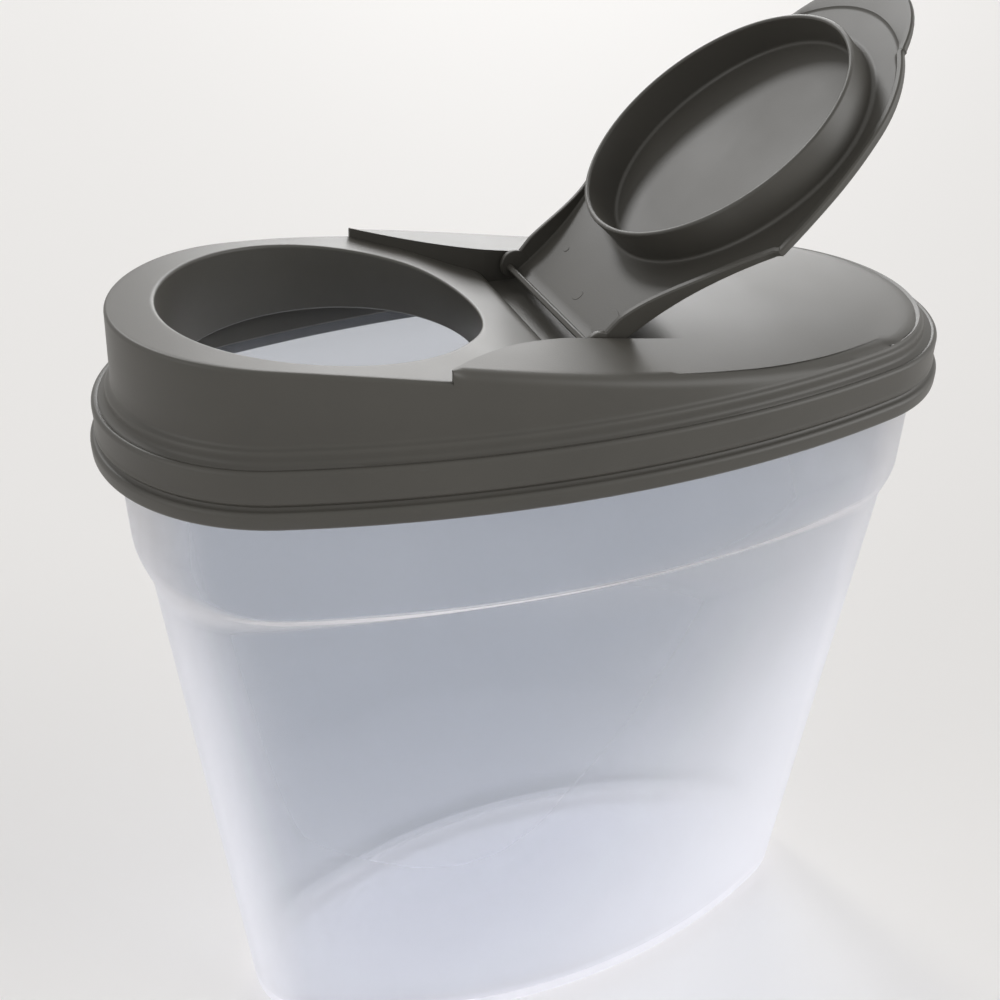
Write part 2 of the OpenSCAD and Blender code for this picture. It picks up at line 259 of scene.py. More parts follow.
lidValues = {
    "wall": 1.8,
    "rimGap": 0.5,
    "seatGap": 0.3,
    "beadProud": 1.8,
    "beadHeight": 5.2,
    "skirtDepth": 13.2,
    "ledgeEnd": 5.7,
    "ledgeSide": 4.5,
    "ledgeRise": 3.2,
    "shift": 0.5,  # collar towards the pouring end
    "lean": 2.0,
    "edgeRound": 1.0,  # rounding of the collar's top edge at the pouring end
    "domeRound": (3.2, 6.0),  # and along the dome, at the sides and at the rear end
    "domePower": 2.7,  # how soon the dome falls away from the pouring end
    "domeRun": 60.0,  # length over which the crown grows, and x from where it flattens
    "frontRise": 24.3,
    "rearRise": 1.6,
    "crown": 2.6,
    "openingRadius": 43.0,
    "openingX": -65.6,
    "tubeRise": 2.0,
    "tubeRound": 0.6,
    "lipDepth": 7.0,
    "lipGap": 0.6,
    "footIn": (0.45, 1.9),  # how far in and over its foot the straight part of the collar begins
    "holeRound": 0.9,
    "ledgeRound": 1.3,
    "ledgeProud": 0.35,
    "groove": (2.85, 0.25, 0.5),  # depth under the foot, dip and width beside the ledge's edge
    "beadRound": 1.4,
    # distance out from the collar's foot and height over it, down the small lip and into the groove
    "lip": (
        (-0.25, 1.3), (0.1, 0.95), (0.5, 0.75), (0.9, 0.45), (1.15, 0.0),
        (1.25, -0.6), (1.35, -1.5), (1.6, -2.2), (2.0, -2.6),
    ),
    # distance in from the skirt and height over the bead, down the fine ridge and its groove
    "ridge": (
        (0.0, 3.2), (-0.2, 2.7), (-0.35, 2.2), (-0.35, 1.8),
        (-0.15, 1.4), (0.2, 1.1), (0.35, 0.7), (0.1, 0.35),
    ),
    "frontSteps": 48,  # points round the pouring end
    "neckSteps": 42,
    "rearSteps": 40,
    "domeLoops": 14,
}

flapValues = {
    "edge": 2.5,
    "skin": 1.8,
    "discSkin": 0.9,  # inside the ring
    "gap": 0.4,
    "sideSlack": 0.25,  # more gap at the sides, as the flap swings up between the walls of its room
    "topRound": 1.0,
    "lowerRound": (0.3, 0.4),  # rounding of the lower edge, inside and outside
    "wingBack": 43.8,
    "wingRound": 2.0,
    "wingTip": 1.2,
    "neckHalf": 33.6,
    "neckPower": 2.2,
    "neckEnd": 2.6,  # the neck's reach behind the hinge
    "deckDrop": 3.2,
    "deckFall": 27.0,  # length over which the deck drops
    "deckRoll": (5.0, 3.2),  # length and drop of the rounding of the deck over the hinge slot
    "slotFront": 9.2,  # the slot's reach before the hinge
    "slotBack": 6.2,  # and behind it, as far as the ramp
    "slotDepth": 9.2,
    "rampSlope": 0.62,
    "rampSoft": 7.5,  # half the length over which the ramp runs out into the dome
    "hingeX": 2.2,
    "hingeRise": 5.8,
    "pinRadius": 2.3,
    "pinLength": 4.0,
    "plugDepth": 8.0,
    "plugWall": 1.6,
    "plugGap": 0.5,
    "plugFillet": 1.2,
    "tabCentre": -98.0,
    "tabRadius": 30.0,
    "tabTurn": 64.5,  # degrees from the tab's middle to its corner
    "frontFade": 45.0,  # length over which the inset beside the tab runs out
    "channelStop": 2.6,
    "channelTurn": 38.0,
    "frontInset": 2.0,  # how far the flap stays inside the lid beside its tab
    "earRadius": 4.7,
    "pinEdge": 0.35,  # bevel of the pins and ears
    "markEdge": 0.06,
    # x, y, radius and height of each mould mark
    "marks": ((-3.7, -22.2, 4.6, 0.12), (-4.1, -1.5, 1.9, 0.1), (-12.0, 22.0, 1.0, 0.15)),
    "openAngle": 133.0,
}


def sharedHeights():
    # ovals, heights and places that the lid and the flap share
    h = {}
    rim = tubValues["rim"]
    h["skirtIn"] = shrink(rim, -tubValues["flange"] - lidValues["rimGap"])
    h["skirtOut"] = shrink(h["skirtIn"], -lidValues["wall"])
    h["bead"] = shrink(h["skirtOut"], -lidValues["beadProud"])
    side = lidValues["ledgeSide"]
    out = h["skirtOut"]
    h["foot"] = (out[0] - lidValues["ledgeEnd"], out[1] - side, out[2] - side)
    h["crest"] = shrink(h["foot"], lidValues["lean"])
    h["bottomZ"] = tubValues["rimHeight"] - lidValues["skirtDepth"]
    h["seatZ"] = tubValues["rimHeight"] + lidValues["seatGap"]
    h["ledgeZ"] = h["seatZ"] + lidValues["wall"]
    h["footZ"] = h["ledgeZ"] + lidValues["ledgeRise"]
    h["frontZ"] = h["footZ"] + lidValues["frontRise"]
    h["rearZ"] = h["footZ"] + lidValues["rearRise"]
    h["frontX"] = -lidValues["shift"] - h["crest"][0]
    h["rearX"] = -lidValues["shift"] + h["crest"][0]
    h["deckEnd"] = flapValues["hingeX"] - flapValues["slotFront"]
    h["deckFall"] = h["deckEnd"] - flapValues["deckFall"]
    h["scoopX"] = flapValues["hingeX"] + flapValues["slotBack"]
    return h


shared = sharedHeights()


def domeLine(x):
    t = max(0.0, min(1.0, (x - shared["frontX"]) / (shared["rearX"] - shared["frontX"])))
    fall = max(0.0, math.cos(math.pi / 2 * t)) ** lidValues["domePower"]
    return shared["rearZ"] + (shared["frontZ"] - shared["rearZ"]) * fall


slotZ = domeLine(shared["deckEnd"]) - flapValues["slotDepth"]
hingeZ = slotZ + flapValues["hingeRise"]


def domeZ(x, y):
    # the dome is crowned across, less so at its two ends
    run = lidValues["domeRun"]
    rear = smooth((x - run) / (shared["rearX"] - run))
    share = min(smooth((x - shared["frontX"] + 2) / run), 1 - 0.8 * rear)
    return domeLine(x) + lidValues["crown"] * share * (1 - (y / shared["crest"][1]) ** 2)


def deckZ(x):
    fall = smooth((x - shared["deckFall"]) / (shared["deckEnd"] - shared["deckFall"]))
    return domeLine(x) - flapValues["edge"] - flapValues["deckDrop"] * fall


def deckTop(x):
    # the deck rolls over into the hinge slot
    reach, drop = flapValues["deckRoll"]
    over = min(1.0, max(0.0, (x - shared["deckEnd"] + reach) / reach))
    return deckZ(x) - drop * (1 - math.sqrt(1 - over * over))


def scoopZ(x):
    return slotZ + max(0.0, x - shared["scoopX"]) * flapValues["rampSlope"]


def underZ(x, y):
    # the underside follows the deck, slants down to the slot and climbs with the ramp
    begin, end = shared["deckEnd"] - 26, shared["deckEnd"] - 3
    if x < begin:
        low = deckZ(x)
    elif x < end:
        low = mix(deckZ(begin), slotZ, (x - begin) / (end - begin))
    else:
        low = scoopZ(x - 3)
    return min(domeZ(x, y), low)


sideGap = flapValues["gap"] + flapValues["sideSlack"]
shoulderX = -flapValues["wingBack"] - flapValues["wingRound"]


def neckWidth(x):
    # the neck widens from the hinge to the wing tips
    v = flapValues
    reach = v["hingeX"] - shoulderX
    wide = halfWidth(shared["crest"], shoulderX + lidValues["shift"]) - v["wingTip"] - sideGap
    return mix(v["neckHalf"], wide, (max(0.0, v["hingeX"] - x) / reach) ** v["neckPower"])


def roomWidth(x):
    return neckWidth(x) + sideGap


def scoopEnd(y):
    # where the ramp behind the hinge meets the dome
    low, high = shared["scoopX"], shared["scoopX"] + 30
    for _ in range(30):
        x = (low + high) / 2
        low, high = (x, high) if scoopZ(x) < domeZ(x, y) else (low, x)
    return low


def rampZ(x, y):
    # the ramp runs out softly into the dome
    end = scoopEnd(y)
    start, stop = end - flapValues["rampSoft"], end + flapValues["rampSoft"]
    if x <= start:
        return scoopZ(x)
    length = stop - start
    t = min(1.0, (x - start) / length)
    low = scoopZ(start) - domeZ(start, y)
    steep = flapValues["rampSlope"] - (domeZ(start + 0.5, y) - domeZ(start - 0.5, y))
    return domeZ(x, y) + low * (2 * t**3 - 3 * t**2 + 1) + steep * length * (t**3 - 2 * t**2 + t)


def buildLid():
    v = lidValues
    crest = shared["crest"]
    shift = v["shift"]
    r = v["edgeRound"]
    openX = v["openingX"]
    endX = shared["deckEnd"]
    slotHalf = roomWidth(endX)
    slotStops = [i / 18 for i in range(19)]
    nA, nB, nC, nD = v["frontSteps"], v["neckSteps"], len(slotStops) - 1, v["rearSteps"]

    def slotX(f, y):
        bend = 8 / 18
        if f < bend:
            return mix(endX, shared["scoopX"], f / bend)
        return mix(shared["scoopX"], scoopEnd(y) + flapValues["rampSoft"], (f - bend) / (1 - bend))

    tipU = ovalU(crest, shoulderX, shift)
    neckX = [mix(endX, shoulderX, (1 - i / nB) ** 1.5) for i in range(nB + 1)]
    # outline stations of the parts that go all round: pouring end, wing, side, rear
    uA = [tipU * i / nA for i in range(nA + 1)]
    uB = [ovalU(crest, x, shift) for x in neckX]
    uC = [mix(uB[-1], ovalU(crest, 30, shift), i / nC) for i in range(nC + 1)]
    uD = [mix(uC[-1], 2, i / nD) for i in range(nD + 1)]
    stations = uA + uB + uC + uD[1:]
    isDeck = [True] * len(uA) + [False] * (len(stations) - len(uA))

    def level(oval, z, shiftBy=shift):
        return [(*ovalPoint(oval, u, shiftBy), z) for u in stations]

    # the room for the flap, in plan: deck edge, neck curve, slot side, slot back
    front = [ovalPoint(shrink(crest, r), u, shift) for u in uA]
    tipY = front[-1][1]
    neck = [(x, min(tipY, roomWidth(x))) for x in neckX]
    front[-1] = neck[0]
    across = [slotHalf * (1 - i / nD) for i in range(nD + 1)]

    def deckLoop(last):
        # the edge of the deck, which ends behind the opening at the line x = last
        half = [(x, y, deckZ(x)) for x, y in front]
        cut = [(x, y) if x < last else (last, roomWidth(last)) for x, y in neck]
        half += [(x, y, deckTop(x)) for x, y in cut]
        half += [(last, slotHalf, deckTop(last))] * (nC + 1)
        return half + [(last, y, deckTop(last)) for y in across[1:]]

    def slotLoop(f):
        # f 0 is below the edge of the deck, f 1 the far end of the slot
        half = [(x, y, deckZ(x)) for x, y in front] + [(x, y, deckTop(x)) for x, y in neck]
        for stop in slotStops:
            x = slotX(min(stop, f), slotHalf)
            half.append((x, slotHalf, rampZ(x, slotHalf)))
        for y in across[1:]:
            x = slotX(f, y)
            half.append((x, y, rampZ(x, y)))
        return half

    rollX = endX - flapValues["deckRoll"][0]
    deckEdge = deckLoop(rollX)

    def holeLoop(radius, z=None):
        half = []
        for x, y, _ in deckEdge:
            a = math.atan2(y, x - openX)
            px, py = openX + radius * math.cos(a), radius * math.sin(a)
            half.append((px, py, deckZ(px) if z is None else z))
        return half

    def mixHalf(a, b, t, height):
        half = []
        for p, q in zip(a, b):
            x, y = mix(p[0], q[0], t), mix(p[1], q[1], t)
            half.append((x, y, height(x, y)))
        return half

    loops = []
    hole = holeLoop(v["openingRadius"] + v["holeRound"])
    for t in (0, 0.05, 0.15, 0.3, 0.45, 0.6, 0.75, 0.9):
        loops.append(mixHalf(hole, deckEdge, t, lambda x, y: deckZ(x)))
    loops.append(deckEdge)
    for i in range(1, 8):
        loops.append(deckLoop(mix(rollX, endX, math.sin(math.pi / 2 * i / 7))))
    for f in slotStops:
        loops.append(slotLoop(f))

    # the wall round the room, in two bands so that the deck's corner is a real corner
    floorLoop = loops[-1]
    share = (deckTop(endX) - slotZ) / (domeZ(endX, slotHalf) - slotZ)
    nRoom = nA + 1 + nB + 1
    middle = []
    wallTop = []
    for i, (x, y, z) in enumerate(floorLoop):
        top = domeZ(x, y)
        middle.append((x, y, z if i < nRoom else mix(z, top, share)))
        wallTop.append((x, y, z if i < nA + 1 else top))
    loops += [middle, wallTop]

    # the dome, out to the rounded edge over the collar
    foot = shared["foot"]
    footZ = shared["footZ"]
    wallFoot = (shrink(foot, v["footIn"][0]), footZ + v["footIn"][1])

    def onWall(u, z, out=0.0):
        # the collar leans in from its foot to the line of the dome
        x = ovalPoint(crest, u, shift)[0]
        lean = (domeLine(x) - z) / (domeLine(x) - wallFoot[1] + 0.001)
        oval = mixOval(shrink(crest, -out), shrink(wallFoot[0], -out), min(1.0, max(0.0, lean)))
        return ovalPoint(oval, u, shift)

    def edgeOf(u, deck):
        # reach and drop of the rounding at a station
        x, y = ovalPoint(crest, u, shift)
        if deck:
            return r, r
        wing = (y - roomWidth(x)) * 0.85 if x < shared["scoopX"] else 99.0
        sideRound, rearRound = v["domeRound"]
        rear = smooth((x - v["domeRun"]) / v["domeRun"])
        reach = min(mix(sideRound, rearRound, rear), max(r * 0.9, wing))
        drop = min(sideRound * 0.85, 0.55 * (domeLine(x) - footZ), reach)
        return reach, drop

    edges = [edgeOf(u, deck) for u, deck in zip(stations, isDeck)]
    rims = []
    for u, deck, (reach, drop) in zip(stations, isDeck, edges):
        x = ovalPoint(crest, u, shift)[0]
        top = deckZ(x) if deck else domeLine(x)
        rims.append(onWall(u, top - drop, -reach))
    rims[: nA + 1] = front
    rims[nA + 1] = neck[0]
    for k in range(1, v["domeLoops"] + 1):
        t = k / v["domeLoops"]
        half = []
        for i, p in enumerate(wallTop):
            if i < nA + 1:
                half.append(p)
            else:
                x, y = mix(p[0], rims[i][0], t), mix(p[1], rims[i][1], t)
                half.append((x, y, domeZ(x, y)))
        loops.append(half)
    domeEdge = [p[2] for p in loops[-1]]
    for a in quarter(7, 1):
        half = []
        for u, top, (reach, drop) in zip(stations, domeEdge, edges):
            z = top - drop * (1 - math.cos(a))
            x, y = onWall(u, z, -reach * (1 - math.sin(a)))
            half.append((x, y, z))
        loops.append(half)

    # collar, ledge, skirt and bead
    topZ = [p[2] for p in loops[-1]]
    for t in (0.2, 0.4, 0.6, 0.8, 1.0):
        half = []
        for u, top in zip(stations, topZ):
            z = mix(top, wallFoot[1], t)
            half.append((*onWall(u, z), z))
        loops.append(half)
    out, bead = shared["skirtOut"], shared["bead"]
    ledgeZ = shared["ledgeZ"]
    for d, h in v["lip"]:
        loops.append(level(shrink(foot, -d), footZ + h))
    edge = v["ledgeRound"]
    rimTop = ledgeZ + v["ledgeProud"]
    grooveOval = mixOval(shrink(foot, -v["lip"][-1][0]), shrink(out, edge), 0.5)
    deep, dip, width = v["groove"]
    loops.append(level(grooveOval, footZ - deep, shift * 0.5))
    loops.append(level(shrink(out, edge + width), rimTop - dip, 0))
    for a in quarter(6):
        z = rimTop - edge * (1 - math.cos(a))
        loops.append(level(shrink(out, edge * (1 - math.sin(a))), z, 0))
    bottom = shared["bottomZ"]
    beadTop = bottom + v["beadHeight"]
    for d, h in v["ridge"]:
        loops.append(level(shrink(out, d), beadTop + h, 0))
    beadRound = v["beadRound"]
    for a in quarter(6):
        z = beadTop - beadRound * (1 - math.cos(a))
        loops.append(level(shrink(bead, beadRound * (1 - math.sin(a))), z, 0))
    for a in quarter(6):
        z = bottom + beadRound * (1 - math.sin(a))
        loops.append(level(shrink(bead, beadRound * (1 - math.cos(a))), z, 0))

    # inside of the skirt, the lip that plugs the tub, the underside and the pouring tube
    inner = shared["skirtIn"]
    lip = shrink(tubValues["rim"], tubValues["wall"] + v["lipGap"])
    rimZ = tubValues["rimHeight"]
    wall = v["wall"]
    lipZ = rimZ - v["lipDepth"]
    for oval, z in (
        (shrink(inner, -0.5), bottom),
        (inner, bottom + 0.5),
        (inner, shared["seatZ"]),
        (lip, shared["seatZ"]),
        (lip, lipZ + 0.8),
        (shrink(lip, 0.6), lipZ),
        (shrink(lip, 1.2), lipZ),
        (shrink(lip, wall), lipZ + 0.6),
        (shrink(lip, wall), shared["seatZ"] - 0.8),
    ):
        loops.append(level(oval, z, 0))
    loops.append(level(shrink(foot, wall), footZ - 1.4))
    radius = v["openingRadius"]
    under = level(shrink(crest, wall), 0)
    tubeOut = holeLoop(radius + wall)
    for t in (0, 0.08, 0.2, 0.36, 0.5, 0.6, 0.67, 0.74, 0.8, 0.87, 0.94, 1.0):
        loops.append(mixHalf(under, tubeOut, t, lambda x, y: underZ(x, y) - wall))
    tubeZ = rimZ + v["tubeRise"]
    tubeRound = v["tubeRound"]
    loops.append(holeLoop(radius + wall, tubeZ + tubeRound))
    loops.append(holeLoop(radius + wall - tubeRound, tubeZ))
    loops.append(holeLoop(radius + tubeRound, tubeZ))
    loops.append(holeLoop(radius, tubeZ + tubeRound))
    for a in quarter(4)[:-1]:
        half = []
        for x, y, z in holeLoop(radius + v["holeRound"] * (1 - math.cos(a))):
            half.append((x, y, z - v["holeRound"] * (1 - math.sin(a))))
        loops.append(half)

    loft = Loft(loops[0])
    loft.growAll(loops[1:])
    loft.grow(loops[0])
    return finishMesh(loft.bm, "lidShell")


def buildFlap():
    v = flapValues
    lid = lidValues
    crest = shared["crest"]
    openX = lid["openingX"]
    rear = v["hingeX"] + v["neckEnd"]
    half = v["neckHalf"]
    endX = shared["deckEnd"]

    # outline in plan: tab, side, wing tip, neck, hinge end
    def tabPoint(degrees):
        a = math.radians(degrees)
        return v["tabCentre"] - v["tabRadius"] * math.cos(a), v["tabRadius"] * math.sin(a)

    plan = [tabPoint(5.9 * i) for i in range(11)]
    arm = tuple(q - v["frontInset"] for q in crest)
    cornerX, cornerY = tabPoint(v["tabTurn"])
    plan += [(cornerX, cornerY), (cornerX + 0.5, cornerY + 0.5)]
    nTab = len(plan)
    last = shoulderX - 1.2
    for i in range(1, 36):
        x = mix(cornerX + 0.8, last, 1 - math.cos(math.pi / 2 * i / 35))
        near = smooth((x - cornerX) / v["frontFade"])
        y = mix(halfWidth(arm, x + lid["shift"]), halfWidth(crest, x + lid["shift"]) - 0.2, near)
        plan.append((x, max(y, plan[-1][1])))
    plan.append((shoulderX - 0.3, plan[-1][1] - 0.2))
    for i in range(27):
        x = mix(shoulderX + 0.4, v["hingeX"], i / 26)
        plan.append((x, neckWidth(x)))
    plan += [(rear - 0.8, half), (rear - 0.25, half - 0.25), (rear, half - 0.8)]
    plan += [(rear, half * t) for t in (0.8, 0.6, 0.4, 0.2, 0.0)]
    count = len(plan)

    def insetPlan(d):
        moved = []
        for i, (x, y) in enumerate(plan):
            ax, ay = plan[i - 1] if i else (plan[1][0], -plan[1][1])
            bx, by = plan[i + 1] if i < count - 1 else (plan[-2][0], -plan[-2][1])
            tx, ty = bx - ax, by - ay
            n = math.hypot(tx, ty)
            moved.append((x + d * ty / n, y - d * tx / n))
        moved[0] = (moved[0][0], 0.0)
        moved[-1] = (moved[-1][0], 0.0)
        return moved

    def circle(radius):
        points = []
        for x, y in plan:
            a = math.atan2(y, x - openX)
            points.append((openX + radius * math.cos(a), radius * math.sin(a)))
        return points

    def on(points, height, drop=0.0):
        return [(x, y, height(x, y) - drop) for x, y in points]

    def between(a, b, t):
        return [(mix(p[0], q[0], t), mix(p[1], q[1], t)) for p, q in zip(a, b)]

    def lower(points, rise=0.0):
        # points on the lower edge, which rests a gap over the deck
        return [(x, y, deckZ(min(p[0], endX)) + v["gap"] + rise) for (x, y), p in zip(points, plan)]

    plug = lid["openingRadius"] - v["plugGap"]
    inner = plug - v["plugWall"]
    frontZ, backZ = deckZ(openX - plug), deckZ(openX + plug)

    def plugZ(x):
        return mix(frontZ, backZ, (x - openX + plug) / (2 * plug)) - v["plugDepth"]

    skin = v["skin"]

    def under(x, y):
        return domeZ(x, y) - skin

    def disc(x, y):
        return domeZ(x, y) - v["discSkin"]

    edgeIn = insetPlan(skin)
    # the channel under the flap stops short of the tab
    for i in range(nTab):
        a = math.radians(v["channelTurn"]) * i / nTab
        reach = crest[2] - v["channelStop"]
        middle = -lid["shift"] - crest[0] + crest[2]
        edgeIn[i] = (middle - reach * math.cos(a), reach * math.sin(a))
    centre = [(openX, 0.0)] * count
    loft = Loft(on(between(centre, circle(inner), 0.3), disc))
    loft.grow(on(between(centre, circle(inner), 0.7), disc))
    fillet = v["plugFillet"]
    for a in quarter(4):
        ring = circle(inner - fillet * (1 - math.sin(a)))
        loft.grow(on(ring, disc, fillet * (1 - math.cos(a))))
    rim = v["plugWall"] / 2
    for i in range(9):
        a = math.pi * i / 8
        rise = rim * (1 - math.sin(a))
        loft.grow([(x, y, plugZ(x) + rise) for x, y in circle(inner + rim - rim * math.cos(a))])
    for a in quarter(4):
        ring = circle(plug + fillet * (1 - math.cos(a)))
        loft.grow(on(ring, under, fillet * (1 - math.sin(a))))
    root = circle(plug + fillet)
    for i in range(1, 16):
        loft.grow(on(between(root, edgeIn, i / 16), under))
    softIn, soft = v["lowerRound"]
    loft.grow(on(edgeIn, under, softIn))
    loft.grow(lower(edgeIn, softIn))
    loft.grow(lower(insetPlan(skin - softIn)))
    loft.grow(lower(insetPlan(soft)))
    loft.grow(lower(plan, soft))
    top = v["topRound"]
    for a in quarter(4):
        loft.grow(on(insetPlan(top * (1 - math.cos(a))), domeZ, top * (1 - math.sin(a))))
    smaller = insetPlan(top)
    for t in (0.1, 0.25, 0.4, 0.55, 0.7, 0.85, 0.95):
        loft.grow(on(between(smaller, centre, t), domeZ))
    loft.cap(loft.first, (openX, 0, disc(openX, 0)))
    loft.cap(loft.ring, (openX, 0, domeZ(openX, 0)))

    # a hinge pin and a round ear at each side of the neck
    bm = loft.bm

    def disk(radius, depth, place, segments, edge, edgeSegments):
        # a short round bar with bevelled rims
        made = bmesh.ops.create_cone(bm, cap_ends=True, segments=segments, radius1=radius,
            radius2=radius, depth=depth, matrix=place)
        rims = {e for vert in made["verts"] for e in vert.link_edges if e.calc_face_angle(0) > 1}
        bmesh.ops.bevel(bm, geom=list(rims), offset=edge, segments=edgeSegments, affect="EDGES",
            profile=0.5, material=-1)

    turn = Matrix.Rotation(math.pi / 2, 4, "X")
    pin = (v["pinRadius"], 0.9, v["pinLength"])  # radius, length inside the neck, length outside
    ear = (v["earRadius"], skin, 0.0)
    for side in (-1, 1):
        for radius, inside, outside in (pin, ear):
            y = side * (half + (outside - inside) / 2)
            place = Matrix.Translation((v["hingeX"], y, hingeZ)) @ turn
            disk(radius, inside + outside, place, 40, v["pinEdge"], 3)
    # marks that the mould left on the underside of the neck
    for x, y, radius, depth in v["marks"]:
        normal = Vector((domeZ(x - 1, y) - domeZ(x + 1, y), domeZ(x, y - 1) - domeZ(x, y + 1), 2))
        lean = normal.to_track_quat("Z", "Y").to_matrix().to_4x4()
        sunk = 0.3  # how deep a mark stands in the skin
        place = Matrix.Translation((x, y, domeZ(x, y) - skin - depth / 2 + sunk / 2)) @ lean
        disk(radius, depth + sunk, place, 32, v["markEdge"], 1)
    hinge = Vector((v["hingeX"], 0, hingeZ))
    opening = Matrix.Rotation(math.radians(v["openAngle"]), 4, "Y")
    swing = Matrix.Translation(hinge) @ opening @ Matrix.Translation(-hinge)
    bmesh.ops.transform(bm, matrix=swing, verts=bm.verts)
    return finishMesh(bm, "flapShell")


tub = buildTub()
lid = buildLid()
flap = buildFlap()


class Wire:
    # a shader socket that takes part in arithmetic
    def __init__(self, graph, socket):
        self.graph = graph
        self.socket = socket

    def __add__(self, other):
        return self.graph.math("ADD", self, other)

    def __radd__(self, other):
        return self.graph.math("ADD", other, self)

    def __sub__(self, other):
        return self.graph.math("SUBTRACT", self, other)

    def __rsub__(self, other):
        return self.graph.math("SUBTRACT", other, self)

    def __mul__(self, other):
        return self.graph.math("MULTIPLY", self, other)

    def __rmul__(self, other):
        return self.graph.math("MULTIPLY", other, self)


class Graph:
    # the nodes of a material or of the world
    def __init__(self, owner, kind="Material"):
        owner.use_nodes = True
        self.owner = owner
        self.kind = kind
        self.tree = owner.node_tree
        self.tree.nodes.clear()

    def node(self, kind, settings=None, out=0, **values):
        # a value or link goes to the socket of its name, or of its number after an i
        made = self.tree.nodes.new(kind)
        for key, value in (settings or {}).items():
            setattr(made, key, value)
        for key, value in values.items():
            numbered = key[0] == "i" and key[1:].isdigit()
            socket = made.inputs[int(key[1:]) if numbered else key.replace("_", " ")]
            self.feed(socket, value)
        return None if out is None else Wire(self, made.outputs[out])

    def feed(self, socket, value):
        if isinstance(value, Wire):
            self.tree.links.new(value.socket, socket)
        else:
            socket.default_value = value

    def math(self, operation, a, b=0.0, clamp=False):
        return self.node("ShaderNodeMath", {"operation": operation, "use_clamp": clamp}, i0=a, i1=b)

    def mixColour(self, share, a, b):
        return self.node("ShaderNodeMix", {"data_type": "RGBA"}, out=2, i0=share, i6=a, i7=b)

    def mixShader(self, share, a, b):
        return self.node("ShaderNodeMixShader", i0=share, i1=a, i2=b)

    def fade(self, value, start, stop, low, high):
        # goes softly from low to high as the value goes from start to stop
        return self.node("ShaderNodeMapRange", {"interpolation_type": "SMOOTHSTEP"},
            i0=value, i1=start, i2=stop, i3=low, i4=high)

    def finish(self, shader):
        self.node("ShaderNodeOutput" + self.kind, out=None, Surface=shader)
        return self.owner


greyFinish = {
    "light": (0.084, 0.079, 0.068, 1),
    "dark": (0.062, 0.059, 0.051, 1),
    "roughness": 0.43,
    "roughnessSpread": 0.1,
    "cloudScale": 34.0,
    "grainScale": 2600.0,
    "grainDepth": 0.00004,  # metres
    "grainStrength": 0.5,
}


def greyPlastic():
    g = Graph(bpy.data.materials.new("greyPlastic"))
    v = greyFinish
    where = g.node("ShaderNodeTexCoord", out="Object")
    cloud = g.node("ShaderNodeTexNoise", Vector=where, Scale=v["cloudScale"], Detail=4.0,
        Roughness=0.55)
    grain = g.node("ShaderNodeTexNoise", Vector=where, Scale=v["grainScale"], Detail=2.0)
    colour = g.mixColour(cloud, v["dark"], v["light"])
    bump = g.node("ShaderNodeBump", Strength=v["grainStrength"], Distance=v["grainDepth"],
        Height=grain)
    roughness = v["roughness"] + v["roughnessSpread"] * (cloud - 0.5)
    shader = g.node("ShaderNodeBsdfPrincipled", Base_Color=colour, Roughness=roughness,
        Normal=bump)
    return g.finish(shader)


frostedFinish = {
    "clear": (0.65, 0.68, 0.735, 1),
    "roughness": 0.02,
    "ior": 1.49,
    "transmission": 0.94,
    "milk": (0.93, 0.92, 0.93, 1),
    "milkRoughness": 0.3,
    "glow": (0.95, 0.94, 0.95, 1),  # of the light that comes through the milk
    "glowShare": 0.55,
    "slant": (0.30, 0.78),  # how far a wall turns away where the milk begins, and where it is full
    "milkFace": 0.03,  # share of milk seen straight through
    "milkEdge": 0.97,  # and at a slant
    "cloudScale": 14.0,
    "cloudDepth": 0.06,
    # places in metres, first where an effect begins, then where it is full
    "floorZ": (0.0085, 0.0068),  # the thick floor
    "floorMilk": 0.8,
    "rootZ": (0.022, 0.0085),  # the rounding between wall and floor
    # painted shade: in the rounding between wall and floor the clear colour is darkened towards
    # this colour
    "rootShadeColour": (0.2, 0.22, 0.25, 1),
    "clearLeftByRootShade": 0.55,  # share of the clear colour that is left there
    "lineAway": (0.0013, 0.0004),  # distance from the step of the wall
    "lineEnd": (0.108, 0.088),  # the line in the step runs out at the rounded ends
    # a whiter line along the step: partly milkier thick plastic at the step, partly painted
    # highlight for the glint along it
    "lineMilkAndHighlight": 0.9,
    "shade": (0.80, 0.81, 0.84, 1),  # what a wall leaves of the lamps' light
}


